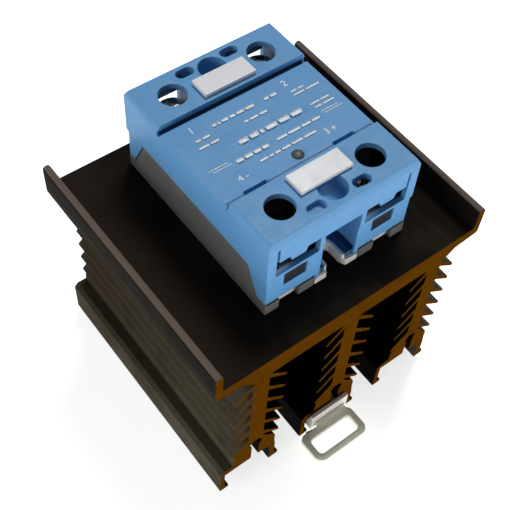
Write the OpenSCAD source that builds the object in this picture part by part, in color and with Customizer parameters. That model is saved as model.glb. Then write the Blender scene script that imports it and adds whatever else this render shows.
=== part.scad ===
// Panel-type solid state relay on a finned heat sink with a DIN rail clip.
// Origin: centre of the rail seat, on the plane of the heat sink feet.
// +X across the sink, +Y along the extrusion towards the power terminals, +Z up.

/* [Heat sink] */
// Width over the two side lips
sink_w = 84; // [82:1:90]
// Cut length of the extrusion
sink_len = 75; // [70:1:120]
// Height of the mounting face over the feet
seat_z = 60; // [58:1:62]
// Height of the side lips over the mounting face
lip_h = 7; // [4:0.5:9]
// Thickness of the side lips
lip_t = 2.2; // [2:0.1:3]
// Thickness of the plate between the webs
core_t = 7; // [6:0.5:8]
// Distance between webs
web_pitch = 28; // [27:0.5:29]
// Thickness of a web
web_t = 4.6; // [4:0.2:5]
// Fins on each side of a web
fin_count = 6; // [4:1:6]
// Distance between fins down the web
fin_pitch = 6.2; // [6:0.1:6.3]

/* [Relay] */
// Relay width
relay_w = 45; // [44:0.5:46]
// Relay length
relay_len = 58.2; // [57:0.2:60]
// Relay height over its base plate
relay_h = 27; // [26:0.5:28]
// Depth of the printed panel below the end blocks
panel_drop = 2.2; // [1:0.2:2.6]
// Distance between the two fixing screws
fixing_pitch = 47.6; // [47:0.1:48]
// Relay centre from the sink centre, across and along
relay_x = 2; // [-4:0.5:4]
// Relay centre from the sink centre, along the extrusion
relay_y = 2; // [-6:0.5:6]
// Distance of each terminal from the centre line
terminal_x = 13.4; // [13:0.1:13.6]
// Distance of each terminal row from the relay centre
terminal_y = 21; // [20.5:0.1:21.4]
// Radius of a screwdriver hole
access_r = 3.7; // [3.4:0.1:3.8]

/* [Rail clip] */
// Width of the rail that the clip takes
rail_w = 35; // [34.5:0.5:35.5]
// Clip centre from the sink centre
clip_x = -2.5; // [-3:0.1:-2]
// Sheet thickness of the bracket
sheet_t = 1.2; // [1:0.1:1.4]
// Width of the pull loop
loop_w = 18; // [14:1:20]

/* [Hidden] */
$fn = 48;
eps = 0.01;

pad_t = 0.2;
edge_t = 3;
web_foot_z = 19;
channel_z = 17;
channel_r = 1.9;
slot_w = 2.4;
jaw_z = 9;
foot_left = 11.4;
foot_right = 8.6;
fin_reach = 5.6;
fin_droop = 4.4;
first_tip_z = seat_z - 12.3;

plate_t = 2.2;
wall = 1.8;
block_y = 14.1;
chamber_y = 15.8;
groove_d = 0.9;
seam_d = 0.6;
panel_z = relay_h - panel_drop;
leg_top = 13.2;
leg_bottom = 4;
hole_y = fixing_pitch / 2;
access_y = hole_y - 0.5;
mount_r = 2.2;
collar_r = 3.2;
floor_z = plate_t + 1.6;
well_r = 5.5;
tapped_r = 1.65;
terminal_in = terminal_x - 6.4;
terminal_out = terminal_x + 6.4;
wire_z = 14.2;
wire_top = 19.2;
power_wire_z = 13.4;
power_wire_top = 20.2;
tag_y = 18.4;
tag_w = 15.3;
tag_d = 6.1;
tag_t = 1.2;
lens_x = 0.9;
lens_y = -9.8;
lens_r = 1.45;
board_z = 16.6;
board_t = 1.2;

power_r = 2.5;
control_r = 1.75;
bar_z = 10.6;
bar_t = 2.4;
power_head_top = 22.2;
control_head_top = 17.2;

bracket_top = jaw_z - 0.02;
guide_end = -13.5;
bracket_low = bracket_top - sheet_t;
guide_half = 6.5;
latch_t = 1.6;
latch_top = bracket_low - 0.4;
hook_top = -1.2;
hook_low = hook_top - sheet_t;
sink_front = -sink_len / 2;
bracket_front = sink_front - 1.7;
loop_x = clip_x - 2.9;

// Extrude a flat outline, drawn across and up, along the sink
module along_y(y0, y1) {
    translate([0, y1, 0]) rotate([90, 0, 0]) linear_extrude(y1 - y0) children();
}

// Extrude a flat outline, drawn along and up, across the sink
module along_x(x0, x1) {
    translate([x0, 0, 0]) rotate([90, 0, 90]) linear_extrude(x1 - x0) children();
}

// Box from its lowest and highest corners
module span(low, high) {
    translate(low) cube(high - low);
}

// Upright cylinder between two heights
module post(x, y, z0, z1, r) {
    translate([x, y, z0]) cylinder(h = z1 - z0, r = r);
}

// Slot with round ends, running across
module obround(x, y, z0, z1, r, half) {
    post(x - half, y, z0, z1, r);
    post(x + half, y, z0, z1, r);
    span([x - half, y - r, z0], [x + half, y + r, z1]);
}

// Move from the relay's own frame to the sink's
module on_sink() {
    translate([relay_x, relay_y, seat_z + pad_t]) children();
}

function arc(x, y, r, a0, a1, n = 8) =
    [for (i = [0 : n]) let (a = a0 + (a1 - a0) * i / n) [x + r * cos(a), y + r * sin(a)]];
function flip(points) = [for (i = [len(points) - 1 : -1 : 0]) [-points[i][0], points[i][1]]];
function shift(points, dx) = [for (p = points) [p[0] + dx, p[1]]];

// Right-hand edge of one web, from the plate down, with its drooping fins
function fin_edge() = [for (k = [0 : fin_count - 1])
    let (tip = first_tip_z - k * fin_pitch, root = tip + fin_droop, x = web_t / 2)
    each [[x, root + 1], [x + fin_reach - 0.3, tip + 0.6], [x + fin_reach, tip],
          [x + fin_reach - 0.5, tip - 0.5], [x, root - 1]]];

// Half of the mounting plate, from the outer bottom corner over the lip
function plate_half() = let (hw = sink_w / 2, low = seat_z - edge_t) concat(
    [[0, seat_z - core_t], [web_pitch + 2.4, seat_z - core_t], [web_pitch + 6.2, low - 0.9],
     [hw - 0.6, low], [hw, low + 0.6]],
    arc(hw - lip_t / 2, seat_z + lip_h - lip_t / 2, lip_t / 2, 0, 180, 10),
    arc(hw - lip_t - 0.8, seat_z + 0.8, 0.8, 0, -90, 4),
    [[0, seat_z]]);

// Feet of one web: a leg on each side of the screw channel
function left_leg() = concat(
    [[-slot_w / 2, web_foot_z + 0.6]],
    arc(-web_t / 2 - 0.6, channel_z - 1.6, 4.2, 90, 165, 6),
    [[-7.4, 11.5], [1.2 - foot_left, 11.5], [-foot_left, 10.3], [-foot_left, 0],
     [2.8 - foot_left, 0], [2.8 - foot_left, 1.3], [1.5 - foot_left, 1.3],
     [1.5 - foot_left, jaw_z], [-slot_w / 2, jaw_z]]);
function right_leg() = concat(
    [[slot_w / 2, jaw_z], [4.2, jaw_z], [5.4, 6.6], [5.4, 0], [foot_right, 0],
     [foot_right, 1.4], [7.3, 1.8], [7.3, 7]],
    arc(1.9, channel_z - 4.4, 5, -12, 62, 6),
    [[web_t / 2, web_foot_z + 0.4], [slot_w / 2, web_foot_z + 0.6]]);

// One web with its fins, its screw channel block and its two legs
module web(x) {
    edge = fin_edge();
    low = [[web_t / 2, web_foot_z]];
    fins = concat([[web_t / 2, seat_z - core_t + 1]], edge, low, flip(low), flip(edge),
        [[-web_t / 2, seat_z - core_t + 1]]);
    block = [[-2.9, channel_z - 1], [2.9, channel_z - 1], [2.9, web_foot_z + 0.4],
        [-2.9, web_foot_z + 0.4]];
    for (outline = [fins, block, left_leg(), right_leg()])
        along_y(sink_front, -sink_front) polygon(shift(outline, x));
}

module heat_sink() color("#211c16") {
    difference() {
        union() {
            along_y(sink_front, -sink_front) polygon(concat(plate_half(), flip(plate_half())));
            for (i = [-1 : 1]) web(i * web_pitch);
        }
        for (i = [-1 : 1]) {
            translate([i * web_pitch, -sink_front + 1, channel_z]) rotate([90, 0, 0])
                cylinder(h = sink_len + 2, r = channel_r);
            span([i * web_pitch - slot_w / 2, sink_front - 1, jaw_z - 1],
                [i * web_pitch + slot_w / 2, 1 - sink_front, channel_z]);
        }
        for (s = [-1, 1]) post(relay_x, relay_y + s * hole_y, seat_z - core_t, seat_z + 1, tapped_r);
    }
}

module thermal_pad() color("#8f9296") {
    difference() {
        translate([relay_x, relay_y, seat_z])
            span([-21, -27.4, 0], [21, 27.4, pad_t]);
        for (s = [-1, 1])
            post(relay_x, relay_y + s * hole_y, seat_z - 1, seat_z + 1, 2.8);
        span([relay_x - 2.8, relay_y - 30, seat_z - 1], [relay_x + 2.8, relay_y - hole_y, seat_z + 1]);
    }
}

module base_plate() color("#c9c8c2") on_sink() {
    difference() {
        union() {
            span([-20.2, -27.6, 0], [20.2, 27.6, plate_t]);
            span([-6.8, 1 - relay_len / 2, 0], [6.8, 0, plate_t]);
            span([-6.8, 0, 0], [6.8, relay_len / 2 - 1, plate_t]);
            span([-6.8, -relay_len / 2, 0], [6.8, -20, plate_t]);
            // Raised rim round the open slot
            post(0, -hole_y, 0, floor_z - 0.1, collar_r);
            span([-collar_r, -relay_len / 2 + 0.9, 0], [collar_r, -hole_y, floor_z - 0.1]);
        }
        post(0, -hole_y, -1, 4, mount_r);
        span([-mount_r, -relay_len, -1], [mount_r, -hole_y, 4]);
        // Flared mouth of the open slot
        translate([0, 0, -1]) linear_extrude(5)
            polygon([[-mount_r - 1.4, -30], [mount_r + 1.4, -30], [mount_r, -27.4], [-mount_r, -27.4]]);
        post(0, hole_y, -1, 4, mount_r);
    }
}

module lower_body() color("#504e4b") on_sink() {
    half = relay_w / 2 - 0.4;
    difference() {
        union() {
            for (s = [-1, 1]) {
                // Side walls, raised between the shell's legs
                along_x(min(s * 20.4, s * half), max(s * 20.4, s * half))
                    polygon([[-29.1, 0], [29.1, 0], [29.1, 3.7], [26.2, 3.7], [21.9, 12.7],
                             [-20.9, 12.7], [-25.3, 3.7], [-29.1, 3.7]]);
                for (x = [-1, 1]) {
                    // Corner feet and inner feet under the end walls
                    for (foot = [[17.8, half], [7, 11.9]]) {
                        x0 = x < 0 ? -foot[1] : foot[0];
                        x1 = x < 0 ? -foot[0] : foot[1];
                        span([x0, min(s * 27.7, s * 29.1), 0], [x1, max(s * 27.7, s * 29.1), 3.5]);
                        span([x0, min(s * 26.6, s * 28), plate_t], [x1, max(s * 26.6, s * 28), 3.5]);
                    }
                    // Catches that show in the shell's windows
                    span([x * 13.5 - 3.1, min(s * 25.6, s * 27), plate_t],
                         [x * 13.5 + 3.1, max(s * 25.6, s * 27), 12.4]);
                    span([x * 13.5 - 3.2, min(s * 26, s * 28.5), 8.6],
                         [x * 13.5 + 3.2, max(s * 26, s * 28.5), 12.5]);
                }
            }
            // Deck over the base plate
            span([-20.5, -27.1, plate_t], [20.5, 27.1, plate_t + 1.6]);
        }
        // Window for the power stage
        span([-15, -11.5, 0], [15, 11.5, 6]);
        // Clearance for the two fixing wells
        for (s = [-1, 1])
            span([-7.1, min(s * 15.8, s * 32), 1], [7.1, max(s * 15.8, s * 32), 6]);
        // Room for the busbars and the control strips
        for (x = [-1, 1]) {
            span([x * terminal_x - 3.6, 8.8, 1], [x * terminal_x + 3.6, 12.6, 6]);
            span([x * terminal_x - 3.6, -12.6, 1], [x * terminal_x + 3.6, -10, 6]);
        }
    }
}

// Terminal chamber with its wire entry, flap gap and test window; side is -1 or 1 across,
// low and high are the wire entry's edges, and drop is how far the flap's tab hangs into it
module terminal_cut(side, low, high, drop) {
    x0 = side < 0 ? -terminal_out : terminal_in;
    x1 = side < 0 ? -terminal_in : terminal_out;
    end = relay_len / 2;
    span([x0, chamber_y, 3], [x1, end - wall, relay_h - wall]);
    difference() {
        span([x0, end - wall - 1, low], [x1, end + 1, high]);
        if (drop > 0) along_y(end - wall - 0.2, end + 2)
            polygon([[side * terminal_x - 2.9, high + 1], [side * terminal_x + 2.9, high + 1],
                     [side * terminal_x + 2.1, high - drop], [side * terminal_x - 2.1, high - drop]]);
    }
    // Gap that frees the flap's outer edge
    gap_x = side < 0 ? x0 : x1 - 0.6;
    span([gap_x, end - wall - 1, high - 1], [gap_x + 0.6, end + 1, high + 5]);
    // Test window over the catch
    span([side * 13.5 - 3.4, end - wall - 1, 8.4], [side * 13.5 + 3.4, end + 1, 12.7]);
    // Screwdriver hole
    post(side * terminal_x, terminal_y, relay_h - wall - 1, relay_h + 1, access_r);
}

module shell() color("#5f9bc9") on_sink() {
    half = relay_w / 2;
    end = relay_len / 2;
    difference() {
        intersection() {
            along_y(-end - 1, end + 1)
                polygon([[-half + 0.4, leg_bottom - 3], [-half + 0.4, leg_top], [-half, leg_top + 0.3],
                         [-half, relay_h - 1.5], [-half + 0.8, relay_h], [half - 0.8, relay_h],
                         [half, relay_h - 1.5], [half, leg_top + 0.3], [half - 0.4, leg_top],
                         [half - 0.4, leg_bottom - 3]]);
            along_x(-half - 1, half + 1)
                polygon([[-end + 0.2, leg_bottom - 3], [-end + 0.2, leg_top], [-end, leg_top + 0.3],
                         [-end, relay_h - 1.5], [-end + 0.8, relay_h], [-block_y + 0.3, relay_h],
                         [-block_y + 0.4, panel_z - seam_d], [-block_y + 0.9, panel_z - seam_d],
                         [-block_y + 1, panel_z], [block_y - 0.6, panel_z],
                         [block_y - 0.2, panel_z - groove_d], [block_y + 0.7, panel_z - groove_d],
                         [block_y + 0.1, relay_h],
                         [end - 0.8, relay_h], [end, relay_h - 1.5], [end, leg_top + 0.3],
                         [end - 0.2, leg_top], [end - 0.2, leg_bottom - 3]]);
        }
        // Sides cut away above the lower body
        for (s = [-1, 1])
            along_x(min(s * (half - wall - 0.4), s * (half + 1)), max(s * (half - wall - 0.4), s * (half + 1)))
                polygon([[-21.1, 12.9], [22.1, 12.9], [26.5, leg_bottom - 0.1], [26.5, 0], [-25.6, 0],
                         [-25.6, leg_bottom - 0.1]]);
        // Everything but the two fixing wells stops above the deck
        for (s = [-1, 1]) {
            span([s < 0 ? -half - 1 : 6.9, -end - 1, 0], [s < 0 ? -6.9 : half + 1, end + 1, leg_bottom]);
            span([-7, s < 0 ? -16 : 0, 0], [7, s < 0 ? 0 : 16, leg_bottom]);
        }
        span([-half - 1, -end - 1, 0], [half + 1, end + 1, plate_t + 0.2]);
        // Electronics bay
        span([-half + wall, -12.6, 0], [half - wall, 12.6, panel_z - wall]);
        for (side = [-1, 1]) {
            terminal_cut(side, power_wire_z, power_wire_top, 0);
            mirror([0, 1, 0]) terminal_cut(side, wire_z, wire_top, 1.7);
            // Shallow slot in the panel beside the front block
            span([side * 13.2 - 3.3, -block_y, panel_z - 1.5], [side * 13.2 + 3.3, 2.6 - block_y, panel_z + 1]);
        }
        // Fixing wells, open to the end faces
        for (s = [-1, 1]) {
            well_y = hole_y + 0.2;
            post(0, s * well_y, floor_z, wire_top - 0.4, well_r);
            span([-well_r, min(s * well_y, s * (end + 1)), floor_z],
                 [well_r, max(s * well_y, s * (end + 1)), wire_top - 0.4]);
            // Gap under the well's wall, and the floor set back from the end face
            post(0, s * well_y, floor_z, floor_z + 1, well_r + 0.8);
            span([-well_r - 0.8, min(s * well_y, s * (end - 1.2)), floor_z],
                 [well_r + 0.8, max(s * well_y, s * (end - 1.2)), floor_z + 1]);
            span([-well_r, min(s * (end - 1), s * (end + 1)), 0],
                 [well_r, max(s * (end - 1), s * (end + 1)), 6]);
            post(0, s * hole_y, 0, 6, collar_r + 0.1);
            span([-collar_r - 0.1, min(s * hole_y, s * (end + 1)), 0],
                 [collar_r + 0.1, max(s * hole_y, s * (end + 1)), 6]);
            post(0, s * access_y, wire_top - 2, relay_h + 1, access_r);
            for (x = [-6.7, 6.7])
                obround(x, s * 25.7, relay_h - (s < 0 && x < 0 ? 1.6 : 4.5), relay_h + 1, 1.4, 1.1);
            // Sockets for the marker tag's feet
            for (x = [-6.2, 6.2])
                span([x - 0.8, s * tag_y - 1.6, relay_h - 1.7], [x + 0.8, s * tag_y + 1.6, relay_h + 1]);
        }
        // Room for the busbars and strips through the inner walls
        for (x = [-1, 1]) {
            span([x * terminal_x - 3.7, 12, 0], [x * terminal_x + 3.7, chamber_y + 0.2, bar_z + bar_t + 0.4]);
            span([x * terminal_x - 3.7, -chamber_y - 0.2, 0], [x * terminal_x + 3.7, -12, bar_z + bar_t + 0.4]);
        }
        post(lens_x, lens_y, panel_z - 4, panel_z + 1, lens_r + 0.05);
    }
}

// Snap-on blank label plate; row is -1 front or 1 rear
module marker_tag(row) {
    y = row * tag_y;
    top = relay_h + 0.05 + tag_t;
    span([-tag_w / 2, y - tag_d / 2, relay_h + 0.05], [tag_w / 2, y + tag_d / 2, top]);
    for (x = [-6.2, 6.2]) span([x - 0.6, y - 1.4, relay_h - 1.3], [x + 0.6, y + 1.4, relay_h + 0.5]);
}

module front_marker_tag() color("#dcdce2") on_sink() marker_tag(-1);
module rear_marker_tag() color("#dcdce2") on_sink() marker_tag(1);

module status_lens() color("#4d5548") on_sink() {
    post(lens_x, lens_y, board_z + board_t + 1.2, panel_z + 0.2, lens_r);
    intersection() {
        translate([lens_x, lens_y, panel_z - 1.9]) sphere(r = 2.5);
        post(lens_x, lens_y, panel_z, panel_z + 1, lens_r);
    }
}

module circuit_board() color("#2f6b45") on_sink() {
    difference() {
        span([-19, -11.8, board_z], [19, 11.8, board_z + board_t]);
        for (x = [-1, 1], y = [-1, 1]) post(x * 17, y * 9.6, board_z - 1, board_z + 3, 1.1);
    }
}

module opto_isolator() color("#2a2a2c") on_sink() {
    top = board_z + board_t;
    span([-11, -4, top], [-3, 2.4, top + 3.3]);
    for (x = [-9.5, -7, -4.5], y = [-1, 1])
        span([x - 0.3, y < 0 ? -5 : 2.3, top], [x + 0.3, y < 0 ? -3.9 : 3.4, top + 1.6]);
}

module board_components() color("#9a8f73") on_sink() {
    top = board_z + board_t;
    span([3, -2, top], [15, 4, top + 3.6]);
    for (i = [0 : 3]) span([-14 + i * 3.4, 6, top], [-12 + i * 3.4, 9.2, top + 0.7]);
    span([lens_x - 0.8, lens_y - 0.6, top], [lens_x + 0.8, lens_y + 0.6, top + 1]);
    translate([-15.5, -2, top]) cylinder(h = 3.4, r = 2);
}

module ceramic_substrate() color("#e4e1d6") on_sink()
    span([-14, -10.5, plate_t], [14, 10.5, plate_t + 0.9]);

module thyristor_chips() color("#6d6f78") on_sink()
    for (s = [-1, 1]) span([s * 6.5 - 4, -4, plate_t + 0.9], [s * 6.5 + 4, 4, plate_t + 1.4]);

module gate_pins() color("#c8b070") on_sink()
    for (s = [-1, 1]) post(s * 1.4, -7.5, plate_t + 0.9, board_z, 0.45);

// Copper bar from the power stage up to one terminal; side is -1 or 1 across
module busbar(side) {
    base = plate_t + 0.9;
    foot = side * 11;
    x0 = side * terminal_x - 3.3;
    x1 = side * terminal_x + 3.3;
    difference() {
        union() {
            span([foot - 2.6, 5, base], [foot + 2.6, 10.3, base + 1]);
            span([min(foot - 2.6, x0), 9.2, base], [max(foot + 2.6, x1), 10.4, bar_z + bar_t]);
            span([x0, 9.2, bar_z], [x1, chamber_y + 0.8, bar_z + bar_t]);
            span([side * terminal_x - 5, chamber_y + 0.3, bar_z], [side * terminal_x + 5, 25.4, bar_z + bar_t]);
        }
        post(side * terminal_x, terminal_y, 0, 20, power_r + 0.05);
    }
}

module line_busbar() color("#c98352") on_sink() busbar(-1);
module load_busbar() color("#c98352") on_sink() busbar(1);

// Tinned strip from the circuit board to one control terminal
module control_strip(side) {
    x0 = side * terminal_x - 3.3;
    x1 = side * terminal_x + 3.3;
    difference() {
        union() {
            span([side * terminal_x - 1, -10.6, bar_z], [side * terminal_x + 1, -9.8, board_z]);
            span([x0, -chamber_y - 0.8, bar_z], [x1, -9.8, bar_z + bar_t - 0.4]);
            span([side * terminal_x - 4.6, -25, bar_z],
                [side * terminal_x + 4.6, -chamber_y - 0.3, bar_z + bar_t - 0.4]);
        }
        post(side * terminal_x, -terminal_y, 0, 20, control_r + 0.05);
    }
}

module control_plus_strip() color("#bdb9ad") on_sink() control_strip(1);
module control_minus_strip() color("#bdb9ad") on_sink() control_strip(-1);

// Terminal screw with a cross slot
module terminal_screw(x, y, top, head_t, head_r, r, tip) {
    difference() {
        union() {
            post(x, y, tip, top - head_t + eps, r);
            post(x, y, top - head_t, top - 0.5, head_r);
            translate([x, y, top - 0.5]) cylinder(h = 0.5, r1 = head_r, r2 = head_r - 0.5);
        }
        span([x - head_r * 0.72, y - 0.45, top - 1.5], [x + head_r * 0.72, y + 0.45, top + 1]);
        span([x - 0.45, y - head_r * 0.72, top - 1.5], [x + 0.45, y + head_r * 0.72, top + 1]);
    }
}

// Pressure plate that the screw carries
module terminal_clamp(x, y, low, t, half, r) {
    difference() {
        union() {
            span([x - half, y - half, low], [x + half, y + half, low + t]);
            for (s = [-1, 1])
                span([x - half, y + s * (half - 1.1) - 0.4, low - 0.3],
                     [x + half, y + s * (half - 1.1) + 0.4, low + 0.1]);
        }
        post(x, y, low - 1, low + t + 1, r + 0.05);
    }
}

module power_screw(side) {
    terminal_screw(side * terminal_x, terminal_y, power_head_top, 3.2, 4.4, power_r, 9.4);
}
module power_clamp(side) {
    terminal_clamp(side * terminal_x, terminal_y, power_head_top - 3.2 - 1.6, 1.6, 4.8, power_r);
}
module control_screw(side) {
    terminal_screw(side * terminal_x, -terminal_y, control_head_top, 2.6, 3.4, control_r, 7);
}
module control_clamp(side) {
    terminal_clamp(side * terminal_x, -terminal_y, control_head_top - 2.6 - 1.2, 1.2, 4.2, control_r);
}

module line_screw() color("#d7d6d0") on_sink() power_screw(-1);
module load_screw() color("#d7d6d0") on_sink() power_screw(1);
module line_clamp() color("#c4c2ba") on_sink() power_clamp(-1);
module load_clamp() color("#c4c2ba") on_sink() power_clamp(1);
module control_plus_screw() color("#d7d6d0") on_sink() control_screw(1);
module control_minus_screw() color("#d7d6d0") on_sink() control_screw(-1);
module control_plus_clamp() color("#c4c2ba") on_sink() control_clamp(1);
module control_minus_clamp() color("#c4c2ba") on_sink() control_clamp(-1);

module fixing_screw() color("#cfcdc6") on_sink()
    terminal_screw(0, hole_y, plate_t + 0.8 + 2.6, 2.6, 3.1, 1.6, -6.6);

module fixing_washer() color("#b9b7b0") on_sink() {
    difference() {
        post(0, hole_y, plate_t, plate_t + 0.8, 3.2);
        post(0, hole_y, plate_t - 1, plate_t + 2, 1.6);
    }
}

module rail_bracket() color("#d9d8d2") {
    x0 = clip_x - guide_half;
    x1 = clip_x + guide_half;
    hook_y = rail_w / 2 + 0.3;
    difference() {
        union() {
            span([x0, bracket_front, bracket_low], [x1, hook_y + sheet_t, bracket_top]);
            // Front edge turned up over the web's end
            span([x0, bracket_front, bracket_low], [x1, bracket_front + sheet_t, bracket_top + 2.4]);
            // Fixed hook behind the rail's upper edge
            span([x0 + 0.7, hook_y, hook_low], [x1, hook_y + sheet_t, bracket_top]);
            span([x0 + 0.7, hook_y - 2.4, hook_low], [x1, hook_y + sheet_t, hook_top]);
            // Guides for the latch
            for (s = [-1, 1]) {
                edge = clip_x + s * guide_half;
                span([min(edge, edge - s), bracket_front, latch_top - latch_t - 1.5],
                     [max(edge, edge - s), guide_end, bracket_top - 0.2]);
                span([min(edge, edge - s * 2.4), bracket_front, latch_top - latch_t - 1.5],
                     [max(edge, edge - s * 2.4), guide_end, latch_top - latch_t - 0.4]);
            }
            // Anchor for the spring
            span([x0 + 1.2, 7.2, bracket_low - 4], [x0 + 5.2, 8.2, bracket_low + 0.2]);
        }
        for (y = [-4, 13]) post(0, y, 0, 12, 1.7);
    }
}

module bracket_screws() color("#cfcdc6")
    for (y = [-4, 13]) {
        post(0, y, bracket_low - 0.2, channel_z - 1, 1.2);
        difference() {
            post(0, y, bracket_low - 2, bracket_low, 2.6);
            span([-1.8, y - 0.35, bracket_low - 3], [1.8, y + 0.35, bracket_low - 1]);
            span([-0.35, y - 1.8, bracket_low - 3], [0.35, y + 1.8, bracket_low - 1]);
        }
    }

module rail_latch() color("#e2e1dc") {
    low = latch_top - latch_t;
    x0 = clip_x - guide_half + 1.4;
    x1 = clip_x + guide_half - 1.4;
    jaw_y = -rail_w / 2 - 0.3;
    loop_out = sink_front - 12.1;
    loop_in = sink_front - 2.7;
    half = loop_w / 2;
    // Slide and jaw
    span([x0, loop_in - 2.4, low], [x1, -12.5, latch_top]);
    span([clip_x - 3.6, jaw_y - sheet_t, hook_low], [clip_x + 3.6, jaw_y, low + 0.2]);
    span([clip_x - 3.6, jaw_y - sheet_t, hook_low], [clip_x + 3.6, jaw_y + 2.4, hook_top]);
    // Pull loop
    difference() {
        union() {
            span([loop_x - half, loop_out + 2.6, low], [loop_x + half, loop_in - 2, latch_top]);
            span([loop_x - half + 2.6, loop_out, low], [loop_x + half - 2.6, loop_in, latch_top]);
            for (s = [-1, 1]) {
                post(loop_x + s * (half - 2.6), loop_out + 2.6, low, latch_top, 2.6);
                post(loop_x + s * (half - 2), loop_in - 2, low, latch_top, 2);
            }
        }
        for (s = [-1, 1], y = [loop_out + 3.2, loop_in - 3.6])
            post(loop_x + s * (half - 3.2), y, low - 1, latch_top + 1, 1.2);
        span([loop_x - half + 2, loop_out + 3.2, low - 1], [loop_x + half - 2, loop_in - 3.6, latch_top + 1]);
        span([loop_x - half + 3.2, loop_out + 2, low - 1], [loop_x + half - 3.2, loop_in - 2.4, latch_top + 1]);
    }
}

// Round wire swept along a helix that runs along the sink
function coil_point(t, turns, r, y0, y1) =
    [r * cos(360 * turns * t), y0 + (y1 - y0) * t, r * sin(360 * turns * t)];

module latch_spring() color("#b8b8b8") {
    turns = 9;
    steps = turns * 14;
    r = 1.5;
    wire = 0.28;
    y0 = -12.4;
    y1 = 7.1;
    sides = 6;
    points = [for (i = [0 : steps], j = [0 : sides - 1])
        let (t = i / steps, a = 360 * turns * t, b = 360 * j / sides,
             c = coil_point(t, turns, r, y0 + wire, y1 - wire))
        [c[0] + wire * cos(b) * cos(a), c[1] + wire * sin(b), c[2] + wire * cos(b) * sin(a)]];
    faces = concat(
        [[for (j = [0 : sides - 1]) j]],
        [[for (j = [sides - 1 : -1 : 0]) steps * sides + j]],
        [for (i = [0 : steps - 1], j = [0 : sides - 1])
            let (k = (j + 1) % sides)
            [i * sides + j, (i + 1) * sides + j, (i + 1) * sides + k, i * sides + k]]);
    translate([clip_x - guide_half + 3.2, 0, latch_top - latch_t]) polyhedron(points, faces);
}

heat_sink();
thermal_pad();
base_plate();
lower_body();
shell();
front_marker_tag();
rear_marker_tag();
status_lens();
circuit_board();
opto_isolator();
board_components();
ceramic_substrate();
thyristor_chips();
gate_pins();
line_busbar();
load_busbar();
control_plus_strip();
control_minus_strip();
line_screw();
load_screw();
line_clamp();
load_clamp();
control_plus_screw();
control_minus_screw();
control_plus_clamp();
control_minus_clamp();
fixing_screw();
fixing_washer();
rail_bracket();
bracket_screws();
rail_latch();
latch_spring();
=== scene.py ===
"""Looks for a panel-type solid state relay on a finned heat sink with a DIN rail clip."""

import math

import bpy
from mathutils import Matrix, Vector


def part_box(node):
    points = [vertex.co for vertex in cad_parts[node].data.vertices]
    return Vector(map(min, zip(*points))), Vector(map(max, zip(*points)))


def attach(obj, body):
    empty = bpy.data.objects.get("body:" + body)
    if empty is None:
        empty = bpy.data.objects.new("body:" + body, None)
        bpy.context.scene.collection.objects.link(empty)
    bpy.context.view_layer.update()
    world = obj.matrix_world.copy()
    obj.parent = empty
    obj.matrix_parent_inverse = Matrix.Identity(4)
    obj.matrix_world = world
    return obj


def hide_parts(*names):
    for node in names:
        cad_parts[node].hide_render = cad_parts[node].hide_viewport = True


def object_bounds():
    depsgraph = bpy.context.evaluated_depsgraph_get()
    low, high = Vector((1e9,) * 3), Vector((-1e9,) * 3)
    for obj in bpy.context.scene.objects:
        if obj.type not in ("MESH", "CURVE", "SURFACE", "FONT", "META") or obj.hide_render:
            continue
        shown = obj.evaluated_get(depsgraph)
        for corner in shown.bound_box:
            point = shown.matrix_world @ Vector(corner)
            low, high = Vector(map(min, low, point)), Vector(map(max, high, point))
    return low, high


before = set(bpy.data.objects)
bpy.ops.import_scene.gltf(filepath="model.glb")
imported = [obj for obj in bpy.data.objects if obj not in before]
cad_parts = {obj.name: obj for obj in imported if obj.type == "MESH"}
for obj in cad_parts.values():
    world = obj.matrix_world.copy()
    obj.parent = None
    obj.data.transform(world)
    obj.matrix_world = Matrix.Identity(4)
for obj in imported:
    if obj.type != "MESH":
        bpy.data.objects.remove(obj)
cad_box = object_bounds()

MM = 0.001
X, Y, Z = 0, 1, 2
HOUSING = "housing"

# The relay's middle, base and panel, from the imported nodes
SHELL_LOW, SHELL_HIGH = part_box("shell")
SINK_LOW, SINK_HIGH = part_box("heat_sink")
PANEL_DROP = 2.2 * MM
PANEL_Z = SHELL_HIGH.z - PANEL_DROP
RELAY_X = (SHELL_LOW.x + SHELL_HIGH.x) / 2
RELAY_Y = (SHELL_LOW.y + SHELL_HIGH.y) / 2
RELAY_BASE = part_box("base_plate")[0].z

# Zones where a finish paints shade or darkens a part: the nearest and farthest distance, either way,
# from the relay's middle or base, or from the place named in the line above a band
FROM_MIDDLE = -MM
# Painted shade inside the terminal chambers
CHAMBER_X = (6.75 * MM, 20.6 * MM)
CHAMBER_Y = (15.5 * MM, 27.6 * MM)
CHAMBER_Z = (2 * MM, 25.3 * MM)
# Painted shade on the floors of the two fixing wells
WELL_X = (FROM_MIDDLE, 6.6 * MM)
WELL_Y = (16 * MM, 28.3 * MM)
WELL_FLOOR_Z = RELAY_BASE + 3 * MM
WELL_FLOOR_BAND = (FROM_MIDDLE, 2.6 * MM)
# Painted shadow on the panel at the foot of the two blocks, where the steps cast their shade
STEP_SHADOW_X = (FROM_MIDDLE, 21.9 * MM)
FRONT_STEP_SHADOW_Y = RELAY_Y - 12.95 * MM
FRONT_STEP_SHADOW_BAND = (FROM_MIDDLE, 0.95 * MM)
REAR_STEP_SHADOW_Y = RELAY_Y + 14.25 * MM
REAR_STEP_SHADOW_BAND = (FROM_MIDDLE, 0.75 * MM)
STEP_SHADOW_Z = PANEL_Z - 0.6 * MM
STEP_SHADOW_Z_BAND = (FROM_MIDDLE, 0.62 * MM)
CATCH_X = (9 * MM, 18 * MM)
CATCH_Y = (27.2 * MM, 28.8 * MM)
CATCH_Z = (7.5 * MM, 14 * MM)

# Round ejector mark on the cover's left side
RING_Y = RELAY_Y + 0.9 * MM
RING_Z = RELAY_BASE + 17.3 * MM
RING_R = 1.3 * MM
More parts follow.
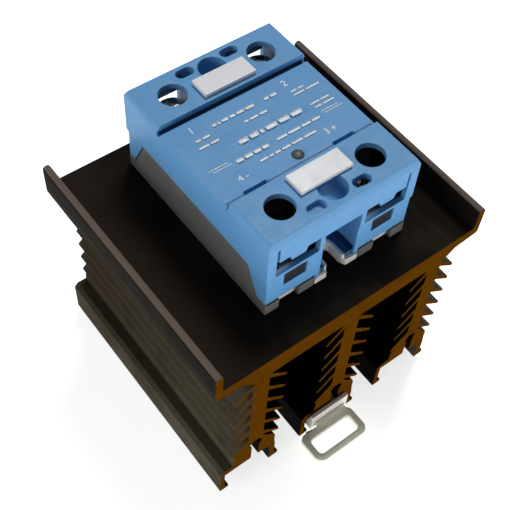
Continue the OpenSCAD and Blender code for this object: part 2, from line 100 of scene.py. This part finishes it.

# Where the heat sink's colour changes, partly by painted light and shade: across it, up it, and over the
# left of its plate
WEBS_OUTSIDE = 29.5 * MM
PAST_THE_LIPS = 60 * MM
PLATE_TOP = SINK_HIGH.z - 6.8 * MM
FINS_START = SINK_HIGH.z - 13 * MM
FINS_FULL = SINK_HIGH.z - 17 * MM
LEFT_START = -18 * MM
LEFT_FULL = -38 * MM


# ---------------------------------------------------------------- small helpers


def only(piece):
    """Makes one object the only selected and active one."""
    bpy.ops.object.select_all(action="DESELECT")
    piece.select_set(True)
    bpy.context.view_layer.objects.active = piece
    return piece


def settle(piece):
    """Puts a finished piece's place into its mesh."""
    only(piece)
    bpy.ops.object.transform_apply(location=True, rotation=True, scale=True)
    return piece


def apply_modifier(piece, kind, **values):
    """Adds one modifier with these values and applies it."""
    only(piece)
    modifier = piece.modifiers.new("step", kind)
    for key, value in values.items():
        setattr(modifier, key, value)
    bpy.ops.object.modifier_apply(modifier=modifier.name)
    return piece


def dress(piece, material, body, stands_for=None):
    """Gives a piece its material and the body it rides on."""
    piece.data.materials.clear()
    piece.data.materials.append(material)
    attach(piece, body)
    if stands_for:
        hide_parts(stands_for)
    return piece


def copy_of(node, name):
    """A loose copy of a CAD node with its corners merged and its flats whole."""
    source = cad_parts[node]
    piece = bpy.data.objects.new(name, source.data.copy())
    bpy.context.scene.collection.objects.link(piece)
    only(piece)
    bpy.ops.object.mode_set(mode="EDIT")
    bpy.ops.mesh.select_all(action="SELECT")
    bpy.ops.mesh.remove_doubles(threshold=0.002 * MM)
    bpy.ops.mesh.customdata_custom_splitnormals_clear()
    bpy.ops.mesh.dissolve_limited(angle_limit=math.radians(0.5))
    bpy.ops.object.mode_set(mode="OBJECT")
    return piece


def rounded(node, name, width, steps=2, corner=32):
    """A copy of a CAD node with its sharp edges rounded over."""
    piece = copy_of(node, name)
    apply_modifier(piece, "TRIANGULATE", min_vertices=5)
    apply_modifier(
        piece, "BEVEL", width=width, segments=steps, limit_method="ANGLE",
        angle_limit=math.radians(corner), use_clamp_overlap=False, miter_outer="MITER_ARC",
        loop_slide=False,
    )
    only(piece)
    bpy.ops.object.shade_smooth_by_angle(angle=math.radians(corner + 8))
    return apply_modifier(piece, "WEIGHTED_NORMAL", weight=80, keep_sharp=True)


# ---------------------------------------------------------------- finishes


def socket_name(word):
    """The shader's own name for one of its inputs."""
    return word.replace("_", " ").title().replace("Ior", "IOR")


class Finish:
    """A Principled material with short calls that add its pattern nodes."""

    def __init__(self, name, colour, **values):
        self.material = bpy.data.materials.new(name)
        self.material.use_nodes = True
        self.tree = self.material.node_tree
        self.shader = self.tree.nodes["Principled BSDF"]
        self.shader.inputs["Base Color"].default_value = (*colour, 1)
        for key, value in values.items():
            self.shader.inputs[socket_name(key)].default_value = value
        self.place = self.tree.nodes.new("ShaderNodeTexCoord").outputs["Object"]

    def add(self, kind, inputs=(), **settings):
        """Adds a node, sets it up and joins or fills its inputs."""
        node = self.tree.nodes.new(kind)
        for key, value in settings.items():
            setattr(node, key, value)
        for key, value in dict(inputs).items():
            if isinstance(value, bpy.types.NodeSocket):
                self.tree.links.new(value, node.inputs[key])
            else:
                node.inputs[key].default_value = value
        return node

    def stretched(self, x=1, y=1, z=1):
        """The piece's own coordinates, scaled along each axis."""
        return self.add("ShaderNodeMapping", {"Vector": self.place, "Scale": (x, y, z)}).outputs[0]

    def noise(self, size, detail=3, rough=0.6, place=None, skew=0):
        """Cloudy pattern whose lumps are about size metres across."""
        inputs = {"Vector": place or self.place, "Scale": 1 / size, "Detail": detail,
                  "Roughness": rough, "Distortion": skew}
        return self.add("ShaderNodeTexNoise", inputs).outputs["Fac"]

    def cells(self, size, place=None, feature="F1"):
        """Distance to scattered points about size metres apart."""
        inputs = {"Vector": place or self.place, "Scale": 1 / size}
        return self.add("ShaderNodeTexVoronoi", inputs, feature=feature).outputs["Distance"]

    def fade(self, value, low, high, start=0.0, end=1.0):
        """Maps low..high smoothly to start..end."""
        inputs = {"Value": value, "From Min": low, "From Max": high, "To Min": start, "To Max": end}
        return self.add("ShaderNodeMapRange", inputs, interpolation_type="SMOOTHSTEP").outputs[0]

    def sum(self, a, b, operation="ADD"):
        """One calculation on two values, their sum unless another is named."""
        return self.add("ShaderNodeMath", {0: a, 1: b}, operation=operation).outputs[0]

    def blend(self, share, a, b):
        """Mixes two colours or colour outputs."""
        node = self.add("ShaderNodeMix", data_type="RGBA")
        for index, value in ((0, share), (6, a), (7, b)):
            if isinstance(value, bpy.types.NodeSocket):
                self.tree.links.new(value, node.inputs[index])
            else:
                node.inputs[index].default_value = value if index == 0 else (*value, 1)
        return node.outputs[2]

    def part(self, source, axis):
        """One axis of a vector output."""
        return self.add("ShaderNodeSeparateXYZ", {0: source}).outputs[axis]

    def along(self, axis):
        """The piece's own coordinate along one axis."""
        return self.part(self.place, axis)

    def offset(self, axis, middle):
        """How far a point lies past middle along one axis."""
        return self.sum(self.along(axis), middle, "SUBTRACT")

    def within(self, axis, middle, low, high, edge=0.15 * MM):
        """One where the distance from middle along one axis lies between low and high."""
        far = self.sum(self.offset(axis, middle), 0, "ABSOLUTE")
        above = self.fade(far, low - edge, low + edge)
        below = self.fade(far, high - edge, high + edge, 1, 0)
        return self.every(above, below)

    def every(self, *masks):
        """The product of masks and strengths."""
        whole = masks[0]
        for mask in masks[1:]:
            whole = self.sum(whole, mask, "MULTIPLY")
        return whole

    def bump(self, height, depth, strength=1.0, under=None):
        """Surface relief of about depth metres."""
        inputs = {"Height": height, "Distance": depth, "Strength": strength}
        if under:
            inputs["Normal"] = under
        return self.add("ShaderNodeBump", inputs).outputs[0]

    def feed(self, **outputs):
        """Joins outputs to the shader's inputs."""
        for key, value in outputs.items():
            self.tree.links.new(value, self.shader.inputs[socket_name(key)])
        return self


def painted_chamber_shade(finish, shade):
    """Painted shade: darkens the cover's inner faces in the terminal chambers, the front pair most, as deep
    inside them.
    """
    inside = finish.every(
        finish.within(X, RELAY_X, *CHAMBER_X), finish.within(Y, RELAY_Y, *CHAMBER_Y),
        finish.within(Z, RELAY_BASE, *CHAMBER_Z),
    )
    front = finish.fade(finish.along(Y), RELAY_Y - MM, RELAY_Y + MM, 1, 0.6)
    return finish.blend(finish.every(inside, front), shade, (0.001, 0.002, 0.004))


def ejector_ring(finish, shade):
    """Faint round mark of an ejector pin on the cover's left side."""
    y_squared = finish.sum(finish.offset(Y, RING_Y), 2, "POWER")
    z_squared = finish.sum(finish.offset(Z, RING_Z), 2, "POWER")
    radius = finish.sum(finish.sum(y_squared, z_squared), 0.5, "POWER")
    off_line = finish.sum(finish.sum(radius, RING_R, "SUBTRACT"), 0, "ABSOLUTE")
    line = finish.fade(off_line, 0.08 * MM, 0.2 * MM, 0.22, 0)
    side = finish.fade(finish.along(X), SHELL_LOW.x + MM, SHELL_LOW.x + 2 * MM, 1, 0)
    return finish.blend(finish.every(line, side), shade, (0.03, 0.09, 0.18))


def painted_step_shade(finish, shade):
    """Painted shade: a dark band on the panel at the foot of each block, standing for the step's shadow, and
    dark floors in the two wells.
    """
    narrow, shallow = 0.1 * MM, 0.04 * MM
    front = finish.within(Y, FRONT_STEP_SHADOW_Y, *FRONT_STEP_SHADOW_BAND, narrow)
    rear = finish.within(Y, REAR_STEP_SHADOW_Y, *REAR_STEP_SHADOW_BAND, narrow)
    step_shadow = finish.every(
        finish.sum(front, rear, "MAXIMUM"), finish.within(X, RELAY_X, *STEP_SHADOW_X, narrow),
        finish.within(Z, STEP_SHADOW_Z, *STEP_SHADOW_Z_BAND, shallow), 0.85,
    )
    well_shade = finish.every(
        finish.within(Z, WELL_FLOOR_Z, *WELL_FLOOR_BAND), finish.within(X, RELAY_X, *WELL_X),
        finish.within(Y, RELAY_Y, *WELL_Y), 0.8,
    )
    shade = finish.blend(well_shade, shade, (0.008, 0.035, 0.1))
    return finish.blend(step_shadow, shade, (0.006, 0.04, 0.12))


def dark_catches(finish, shade):
    """Darkens the catches that show in the cover's windows."""
    nose = finish.every(
        finish.within(Y, RELAY_Y, *CATCH_Y), finish.within(Z, RELAY_BASE, *CATCH_Z),
        finish.within(X, RELAY_X, *CATCH_X),
    )
    return finish.blend(nose, shade, (0.008, 0.008, 0.009))


def moulded(name, colour, tint, grain, roughness, gloss=0.5, extras=()):
    """Moulded plastic: fine spark-eroded grain, faint cloudiness and handling marks, and the extras it is
    given, some of which paint shade.
    """
    finish = Finish(name, colour, specular_ior_level=gloss)
    clouds = finish.noise(9 * MM, 4, 0.55)
    specks = finish.noise(0.35 * MM, 2, 0.7)
    shade = finish.blend(finish.fade(clouds, 0.3, 0.7), colour, tint)
    dark = tuple(channel * 0.88 for channel in colour)
    shade = finish.blend(finish.fade(specks, 0.56, 0.72, 0, 0.5), shade, dark)
    for extra in extras:
        shade = extra(finish, shade)
    rough = finish.fade(finish.noise(3 * MM, 5, 0.6), 0.3, 0.75, roughness - 0.06, roughness + 0.1)
    fine = finish.noise(grain, 2, 0.6)
    waves = finish.noise(6 * MM, 2, 0.5)
    relief = finish.bump(fine, 0.02 * MM, 0.35, finish.bump(waves, 0.03 * MM, 0.25))
    finish.feed(base_color=shade, roughness=rough, normal=relief)
    return finish.material


def plated(name, colour, roughness, streak, wear=(0.3, 0.27, 0.22), metal=1.0):
    """Plated steel: rolled streaks, mottled gloss and small dull spots."""
    finish = Finish(name, colour, metallic=metal)
    along = finish.noise(0.5 * MM, 4, 0.7, finish.stretched(*streak))
    mottle = finish.noise(2.5 * MM, 5, 0.65)
    spots = finish.noise(0.9 * MM, 3, 0.6)
    shade = finish.blend(finish.fade(mottle, 0.35, 0.75, 0, 0.35), colour, wear)
    shade = finish.blend(finish.fade(spots, 0.62, 0.74, 0, 0.4), shade, wear)
    rough = finish.sum(finish.fade(along, 0.3, 0.7, roughness - 0.06, roughness + 0.1),
                       finish.fade(spots, 0.6, 0.75, 0, 0.15))
    relief = finish.bump(along, 0.01 * MM, 0.3, finish.bump(mottle, 0.03 * MM, 0.3))
    finish.feed(base_color=shade, roughness=rough, normal=relief)
    return finish.material


def anodised():
    """Black anodised extrusion with die lines along it, golden sawn ends, and painted light and shade on its
    sides, plate and channels.
    """
    black = (0.0095, 0.0074, 0.0058)
    finish = Finish("black_anodised_extrusion", black, ior=1.09, specular_tint=(1, 0.75, 0.5, 1))
    lines = finish.noise(0.8 * MM, 5, 0.65, finish.stretched(1, 0.012, 1))
    smears = finish.noise(14 * MM, 5, 0.6, skew=0.6)
    dust = finish.cells(2.6 * MM)
    # The finned sides below the plate are browner, and lighter towards the front as painted light
    height = finish.along(Z)
    lower = finish.fade(height, FINS_START, FINS_FULL)
    outer = finish.within(X, 0, WEBS_OUTSIDE, PAST_THE_LIPS, MM)
    rearward = finish.fade(finish.along(Y), SINK_LOW.y, SINK_HIGH.y)
    brown_with_painted_light = finish.blend(rearward, (0.075, 0.064, 0.043), (0.046, 0.036, 0.026))
    skin = finish.blend(finish.every(lower, outer), black, brown_with_painted_light)
    skin = finish.blend(finish.fade(smears, 0.42, 0.75, 0, 0.6), skin, (0.026, 0.021, 0.016))
    # The left of the plate is a little lighter, partly dust and smears and partly a painted reflection, but
    # not the lip above it
    left = finish.fade(finish.along(X), LEFT_START, LEFT_FULL, 0, 0.8)
    below_lip = finish.fade(height, PLATE_TOP, PLATE_TOP + 0.4 * MM, 1, 0)
    left = finish.every(left, finish.sum(1, lower, "SUBTRACT"), below_lip)
    skin = finish.blend(left, skin, (0.026, 0.019, 0.014))
    # Die lines and dust
    skin = finish.blend(finish.fade(lines, 0.55, 0.75, 0, 0.35), skin, (0.035, 0.028, 0.021))
    skin = finish.blend(finish.fade(dust, 0.07, 0.03, 0, 0.3), skin, (0.12, 0.1, 0.08))
    # Painted shade: the webs and fins inside the outer sides are made near black, as the channels between
    # them lie in shade
    channel_shade = finish.every(lower, finish.within(X, 0, FROM_MIDDLE, WEBS_OUTSIDE), 0.9)
    skin = finish.blend(channel_shade, skin, (0.0012, 0.001, 0.0008))
    # Lighter top edges of the lips
    crest = finish.fade(height, SINK_HIGH.z - 0.7 * MM, SINK_HIGH.z - 0.25 * MM, 0, 0.85)
    skin = finish.blend(crest, skin, (0.15, 0.115, 0.095))
    # Sawn ends: only what faces along the extrusion
    facing = finish.part(finish.add("ShaderNodeNewGeometry").outputs["Normal"], Y)
    facing = finish.sum(facing, 0, "ABSOLUTE")
    cut = finish.fade(facing, 0.9, 0.97)
    saw = finish.noise(0.5 * MM, 4, 0.7, finish.stretched(0.06, 1, 1.6))
    stain = finish.noise(5 * MM, 4, 0.6)
    gold = finish.blend(finish.fade(saw, 0.3, 0.7), (0.07, 0.0235, 0.0008), (0.1, 0.036, 0.0014))
    gold = finish.blend(finish.fade(stain, 0.5, 0.75, 0, 0.6), gold, (0.05, 0.018, 0.001))
    rough = finish.sum(finish.fade(smears, 0.3, 0.8, 0.34, 0.5), finish.fade(lines, 0.3, 0.7, 0, 0.1))
    relief = finish.bump(lines, 0.02 * MM, 0.35)
    relief = finish.bump(finish.every(saw, cut), 0.04 * MM, 0.5, relief)
    finish.feed(base_color=finish.blend(cut, skin, gold), roughness=rough,
                specular_ior_level=finish.fade(cut, 0, 1, 0.06, 0), normal=relief)
    return finish.material


def ink(name, colour):
    """Pad-printed ink, worn thin in places."""
    finish = Finish(name, colour, specular_ior_level=0.3)
    thin = finish.noise(0.5 * MM, 4, 0.7)
    shade = finish.blend(finish.fade(thin, 0.45, 0.8, 0, 0.45), colour, (0.25, 0.42, 0.6))
    finish.feed(base_color=shade, roughness=finish.fade(thin, 0.3, 0.7, 0.45, 0.7))
    return finish.material


def laminate():
    """Green circuit board with a faint weave and copper tracks under the mask."""
    green = (0.012, 0.11, 0.045)
    finish = Finish("green_circuit_board", green, specular_ior_level=0.5)
    brick = {"Vector": finish.place, "Scale": 260.0, "Color1": (0.01, 0.09, 0.035, 1),
             "Color2": (0.02, 0.15, 0.06, 1), "Mortar": (0.008, 0.07, 0.03, 1), "Mortar Size": 0.03}
    tracks = finish.add("ShaderNodeTexBrick", brick).outputs["Color"]
    weave = finish.noise(0.4 * MM, 3, 0.6)
    finish.feed(base_color=finish.blend(finish.fade(weave, 0.4, 0.7, 0, 0.4), tracks, green),
                roughness=finish.fade(weave, 0.3, 0.7, 0.25, 0.4),
                normal=finish.bump(weave, 0.01 * MM, 0.4))
    return finish.material


def plain_fine(name, colour, other, roughness, metallic=0.0, size=1.2 * MM):
    """Small inner part: two close shades in fine clouds with a light relief."""
    finish = Finish(name, colour, metallic=metallic)
    clouds = finish.noise(size, 4, 0.6)
    finish.feed(base_color=finish.blend(finish.fade(clouds, 0.35, 0.7), colour, other),
                roughness=finish.fade(clouds, 0.3, 0.7, roughness - 0.05, roughness + 0.1),
                normal=finish.bump(clouds, 0.01 * MM, 0.3))
    return finish.material


# The blue cover's extras paint shade into its chambers, onto its well floors and beside its blocks, and draw
# its ejector mark
BLUE = moulded("light_blue_moulding", (0.105, 0.295, 0.56), (0.115, 0.31, 0.575), 0.22 * MM, 0.44,
               0.2, (painted_chamber_shade, ejector_ring, painted_step_shade))
GREY = moulded("dark_grey_moulding", (0.112, 0.115, 0.11), (0.13, 0.128, 0.12), 0.25 * MM, 0.5, 0.3,
               (dark_catches,))
WHITE = moulded("off_white_label", (0.72, 0.72, 0.74), (0.68, 0.69, 0.72), 0.4 * MM, 0.38)
BLACK = anodised()
NICKEL = plated("satin_nickel_plate", (0.92, 0.9, 0.85), 0.3, (1, 0.1, 1), (0.6, 0.58, 0.5), 0.25)
STEEL = plated("bright_clip_steel", (0.8, 0.8, 0.76), 0.3, (1, 0.08, 1), (0.6, 0.6, 0.55), 0.25)
LATCH = plated("yellowish_clip_steel", (0.84, 0.84, 0.7), 0.36, (1, 0.08, 1), (0.66, 0.66, 0.54), 0.1)
SCREW_ZINC = plated("bright_zinc_screw", (0.84, 0.84, 0.83), 0.22, (0.3, 0.3, 1))
PLATE_ZINC = plated("bright_zinc_plate", (0.78, 0.77, 0.74), 0.3, (0.15, 1, 1))
WIRE = plated("drawn_spring_wire", (0.55, 0.55, 0.56), 0.25, (1, 1, 1))
TINNED = plated("tinned_strip", (0.75, 0.74, 0.71), 0.32, (1, 0.2, 1))
COPPER = plated("copper_bar", (0.72, 0.36, 0.22), 0.3, (1, 0.15, 1), (0.35, 0.15, 0.08))
WHITE_INK = ink("white_pad_print", (0.78, 0.84, 0.88))
BOARD = laminate()
EPOXY = plain_fine("black_epoxy", (0.015, 0.015, 0.016), (0.03, 0.03, 0.03), 0.5)
CERAMIC = plain_fine("white_alumina", (0.78, 0.76, 0.7), (0.7, 0.68, 0.62), 0.55)
SILICON = plain_fine("passivated_die", (0.12, 0.12, 0.14), (0.18, 0.18, 0.22), 0.2, 0.6)
FILM = plain_fine("grey_thermal_film", (0.3, 0.31, 0.32), (0.24, 0.25, 0.26), 0.7)
LENS = plain_fine("smoked_light_guide", (0.05, 0.065, 0.05), (0.08, 0.09, 0.065), 0.4, 0.0, 0.6 * MM)


# ---------------------------------------------------------------- carried-over nodes

NODE_FINISHES = {
    "thermal_pad": FILM, "circuit_board": BOARD, "opto_isolator": EPOXY, "board_components": EPOXY,
    "ceramic_substrate": CERAMIC, "thyristor_chips": SILICON, "gate_pins": TINNED,
    "line_busbar": COPPER, "load_busbar": COPPER, "control_plus_strip": TINNED,
    "control_minus_strip": TINNED, "latch_spring": WIRE,
}
for node_name, material in NODE_FINISHES.items():
    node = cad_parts[node_name]
    node.data.materials.clear()
    node.data.materials.append(material)

# Node, piece name, edge radius in mm, finish, body, slot
ROUNDED = (
    ("shell", "blue_cover", 0.22, BLUE, HOUSING, "blue_plastic"),
    ("lower_body", "grey_frame", 0.18, GREY, HOUSING, "grey_plastic"),
    ("base_plate", "metal_base", 0.2, NICKEL, HOUSING, "nickel_plate"),
    ("front_marker_tag", "front_label", 0.22, WHITE, "front_marker_tag", "tag_plastic"),
    ("rear_marker_tag", "rear_label", 0.22, WHITE, "rear_marker_tag", "tag_plastic"),
    ("status_lens", "light_guide", 0.1, LENS, HOUSING, "lens"),
    ("heat_sink", "sink_extrusion", 0.12, BLACK, HOUSING, "black_anodised"),
    ("rail_bracket", "clip_bracket", 0.2, STEEL, HOUSING, "clip_steel"),
    ("rail_latch", "clip_latch", 0.35, LATCH, "rail_latch", "clip_steel"),
    ("fixing_washer", "plain_washer", 0.12, PLATE_ZINC, HOUSING, "zinc_plate"),
    ("line_clamp", "line_pressure_plate", 0.15, PLATE_ZINC, "line_clamp", "zinc_plate"),
    ("load_clamp", "load_pressure_plate", 0.15, PLATE_ZINC, "load_clamp", "zinc_plate"),
    ("control_plus_clamp", "plus_pressure_plate", 0.12, PLATE_ZINC, "control_plus_clamp", "zinc_plate"),
    ("control_minus_clamp", "minus_pressure_plate", 0.12, PLATE_ZINC, "control_minus_clamp", "zinc_plate"),
    ("line_screw", "line_terminal_screw", 0.12, SCREW_ZINC, "line_screw", "zinc_screw"),
    ("load_screw", "load_terminal_screw", 0.12, SCREW_ZINC, "load_screw", "zinc_screw"),
    ("control_plus_screw", "plus_terminal_screw", 0.1, SCREW_ZINC, "control_plus_screw", "zinc_screw"),
    ("control_minus_screw", "minus_terminal_screw", 0.1, SCREW_ZINC, "control_minus_screw", "zinc_screw"),
    ("fixing_screw", "rear_fixing_screw", 0.1, SCREW_ZINC, HOUSING, "zinc_screw"),
    ("bracket_screws", "clip_screws", 0.1, SCREW_ZINC, HOUSING, "zinc_screw"),
)
for node_name, piece_name, radius, material, body, slot in ROUNDED:
    piece = rounded(node_name, piece_name, radius * MM)
    dress(piece, material, body, node_name)


# ---------------------------------------------------------------- print on the panel

INK_T = 0.03 * MM
BAR_CORNER = 0.35
# The middle of the print, which sits a little off the relay's own
PRINT_X = RELAY_X + 1.0 * MM
PRINT_Y = RELAY_Y + 1.2 * MM


def numeral(word, name, x, y, height):
    """A printed number; its left edge and its foot are x and y mm from the print's middle."""
    bpy.ops.object.select_all(action="DESELECT")
    place = (PRINT_X + x * MM, PRINT_Y + y * MM, PANEL_Z)
    bpy.ops.object.text_add(location=place)
    piece = bpy.context.object
    piece.name = name
    piece.data.body = word
    piece.data.size = height * MM
    piece.data.extrude = INK_T
    bpy.ops.object.convert(target="MESH")
    dress(settle(bpy.context.object), WHITE_INK, HOUSING)


def one_bar(x, y, length, height):
    """One flat printed bar with round corners, sized and placed in mm from its left end."""
    bpy.ops.object.select_all(action="DESELECT")
    place = (PRINT_X + (x + length / 2) * MM, PRINT_Y + y * MM, PANEL_Z + INK_T / 2)
    bpy.ops.mesh.primitive_cube_add(size=1, location=place)
    bar = bpy.context.object
    bar.scale = (length * MM, height * MM, INK_T)
    settle(bar)
    bpy.ops.object.mode_set(mode="EDIT")
    bpy.ops.mesh.select_all(action="DESELECT")
    bpy.ops.object.mode_set(mode="OBJECT")
    for edge in bar.data.edges:
        start, end = (bar.data.vertices[index].co for index in edge.vertices)
        edge.select = abs(start.z - end.z) > INK_T / 2
    bpy.ops.object.mode_set(mode="EDIT")
    bpy.ops.mesh.bevel(offset=min(length, height) * BAR_CORNER * MM, segments=3)
    bpy.ops.object.mode_set(mode="OBJECT")
    return bar


def bars(name, row, height):
    """One row of small printed bars that stands for fine print; row lists (x, y, length) in mm."""
    made = [one_bar(x, y, length, height) for x, y, length in row]
    bpy.ops.object.select_all(action="DESELECT")
    for bar in made:
        bar.select_set(True)
    bpy.context.view_layer.objects.active = made[0]
    if len(made) > 1:
        bpy.ops.object.join()
    piece = bpy.context.object
    piece.name = name
    return dress(piece, WHITE_INK, HOUSING)


def words(x, y, lengths, gap=0.45):
    """Places of a row's bars from x rightwards: one bar for each length, a gap between."""
    row = []
    for length in lengths:
        row.append((x, y, length))
        x += length + gap
    return row


numeral("1", "number_line", -17.2, 8.3, 2.9)
numeral("2", "number_load", 10.9, 8.3, 2.9)
numeral("3 +", "number_control_plus", 9.6, -10.1, 2.6)
numeral("4 -", "number_control_minus", -16.2, -10.1, 2.6)
bars("fine_print_top", words(-11.4, 7.6, (1.1, 0.7, 1.9, 1.6, 2.2, 2.6)) + words(4.1, 7.6, (1.4, 1.9)), 0.95)
bars("fine_print_upper", words(-4.3, 4.3, (1.2, 2.4, 2.2)), 0.7)
bars("fine_print_middle", words(-9.4, -0.4, (2.5, 2.4, 1.0, 3.2, 3.0, 3.2), 0.7), 1.5)
bars("fine_print_lower", words(-13.4, -4.8, (2.0, 2.2, 2.0, 1.8)), 1.15)
bars("fine_print_inner", words(-1.4, -4.6, (3.0, 3.6, 2.8, 2.4)), 0.8)
bars("fine_print_bottom", words(-8.6, -7.7, (2.2, 1.2, 1.6, 2.6, 3.2, 3.6)), 0.7)
bars("fine_print_right", words(11.2, 5.9, (1.6, 1.8)) + words(11.0, 4.6, (3.4, 4.2)), 0.55)
bars("fine_print_origin", words(12.4, -0.2, (2.8, 2.6)) + words(12.8, -1.6, (1.9, 3.6)), 0.55)
bars("rule_right", [(13.2, -3.4, 5.2), (13.6, -4.2, 5.6)], 0.22)
bars("rule_left", [(-20.6, -3.6, 5.4), (-19.8, -4.4, 5.2)], 0.22)
bars("fine_print_left", words(-17.6, 5.6, (1.4, 2.2)) + words(-18.2, 3.3, (2.8, 2.4)), 0.7)


# ---------------------------------------------------------------- floor, light and camera


def softbox(name, place, aim, width, height, power):
    """A rectangular area light that faces aim."""
    bpy.ops.object.light_add(type="AREA", location=place)
    lamp = bpy.context.object
    lamp.name = name
    lamp.data.shape = "RECTANGLE"
    lamp.data.size = width
    lamp.data.size_y = height
    lamp.data.energy = power
    lamp.rotation_euler = (Vector(aim) - Vector(place)).to_track_quat("-Z", "Y").to_euler()
    return lamp


FLOOR_Z = cad_box[0].z - 0.02 * MM
FLOOR_SIZE = 20
bpy.ops.object.select_all(action="DESELECT")
bpy.ops.mesh.primitive_plane_add(size=FLOOR_SIZE, location=(0, 0, FLOOR_Z))
floor = settle(bpy.context.object)
floor.name = "light_table"
PAPER = (0.9, 0.9, 0.9)
paper = Finish("white_light_table", PAPER, roughness=0.9, specular_ior_level=0.1,
               emission_color=(1, 1, 1, 1), emission_strength=0.72)
paper_grain = paper.fade(paper.noise(1.5 * MM, 3, 0.6), 0.3, 0.7)
paper.feed(base_color=paper.blend(paper_grain, PAPER, (0.88, 0.88, 0.88)))
floor.data.materials.append(paper.material)

world = bpy.data.worlds.new("soft_surround")
world.use_nodes = True
background = world.node_tree.nodes["Background"]
background.inputs["Color"].default_value = (1, 1, 1, 1)
background.inputs["Strength"].default_value = 0.14
bpy.context.scene.world = world
bpy.context.scene.view_settings.view_transform = "Standard"

OBJECT_MIDDLE = (0, 0, 0.05)
softbox("top_softbox", (0.4, 0.3, 1.0), OBJECT_MIDDLE, 0.35, 0.35, 7.1)
softbox("low_front_strip", (0.1, -0.9, 0.045), (0.1, 0, 0.045), 0.9, 0.08, 4.5)
softbox("left_softbox", (-1.0, 0.05, 0.35), OBJECT_MIDDLE, 0.5, 0.5, 4.1)

# Where the camera stands, its right-hand and forward directions, its lens and its clipping
CAMERA_PLACE = Vector((-0.1021, -0.1164, 0.2543))
CAMERA_RIGHT = Vector((0.7959, -0.6037, 0.0468))
CAMERA_AHEAD = Vector((0.3809, 0.4390, -0.8137))
LENS_MM = 67.85
SENSOR_MM = 36
NEAREST, FARTHEST = 0.01, 20
bpy.ops.object.camera_add()
camera = bpy.context.object
camera.name = "studio_camera"
right = (CAMERA_RIGHT - CAMERA_RIGHT.project(CAMERA_AHEAD)).normalized()
ahead = CAMERA_AHEAD.normalized()
turn = Matrix((right, right.cross(ahead), -ahead)).transposed()
camera.matrix_world = Matrix.Translation(CAMERA_PLACE) @ turn.to_4x4()
camera.data.lens = LENS_MM
camera.data.sensor_width = SENSOR_MM
camera.data.clip_start = NEAREST
camera.data.clip_end = FARTHEST
bpy.context.scene.camera = camera
